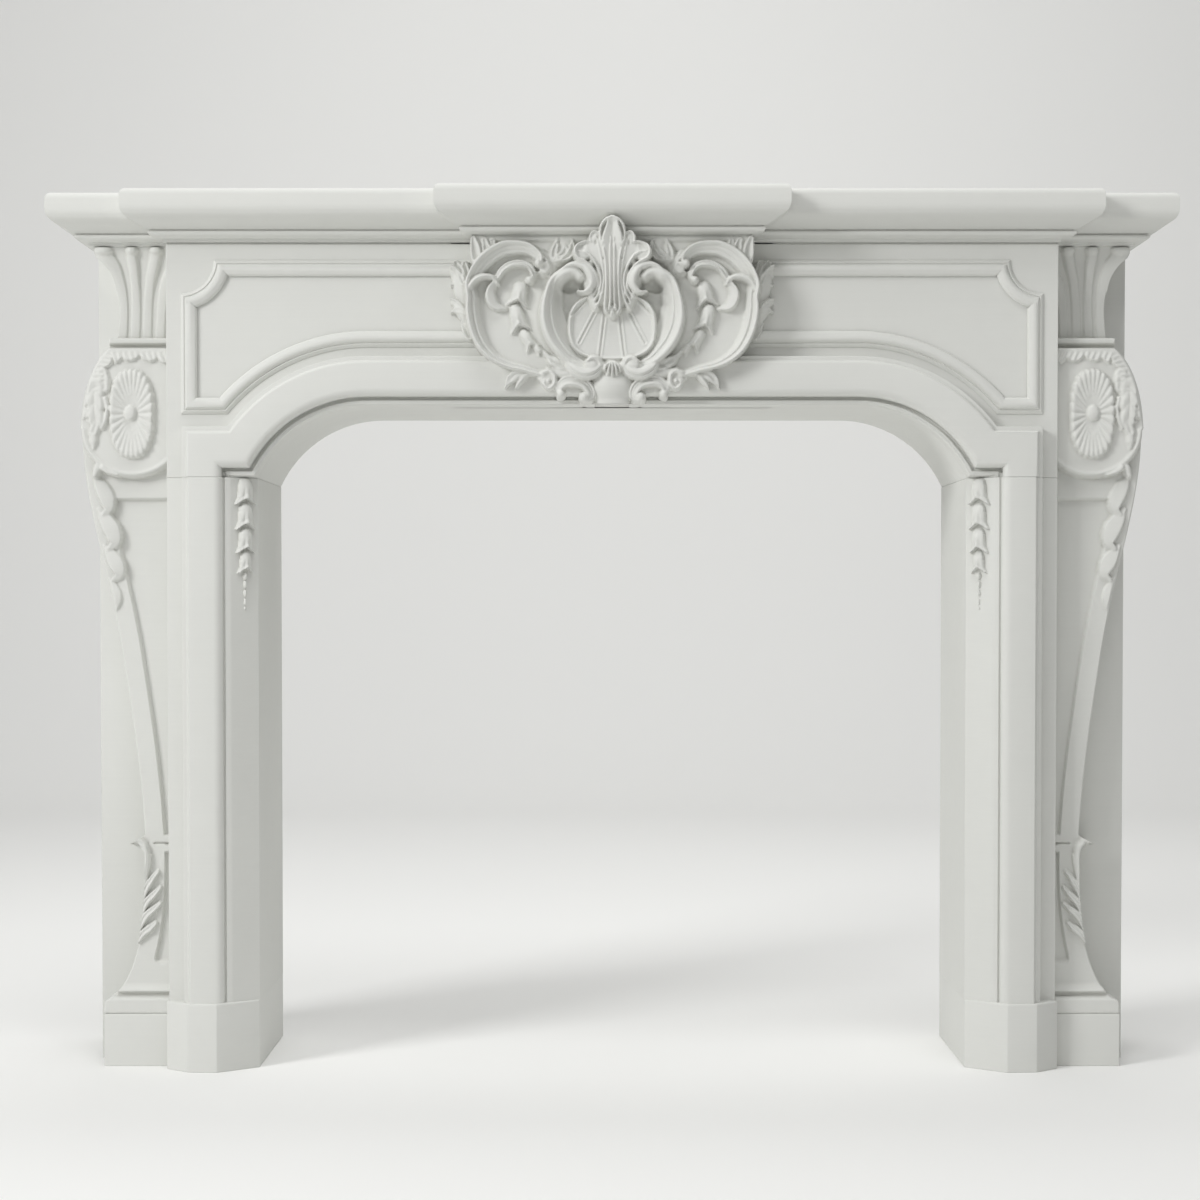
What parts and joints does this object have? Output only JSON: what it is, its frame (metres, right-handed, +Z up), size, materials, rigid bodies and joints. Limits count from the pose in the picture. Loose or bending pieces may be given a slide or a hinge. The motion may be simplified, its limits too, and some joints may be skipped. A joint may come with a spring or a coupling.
{
  "type": "fireplace mantel",
  "caption": "Carved stone fireplace surround: stepped moulded shelf, arched header with shell cartouche, moulded legs and scroll consoles.",
  "frame": {"origin": "centre of the bounding box's underside: on the floor, midway between the legs, half the shelf's depth from the wall", "axes": "+X along the shelf to the right as seen from the room, +Y towards the wall behind, +Z up"},
  "size_m": [1.691, 0.36, 1.315],
  "materials": {
    "stone": "matte, finely rubbed off-white stone"
  },
  "bodies": {
    "root": {"shelf": "stone", "header": "stone", "leg_left": "stone", "leg_right": "stone", "console_left": "stone", "console_right": "stone", "console_block_left": "stone", "console_block_right": "stone"}
  },
  "joints": []
}
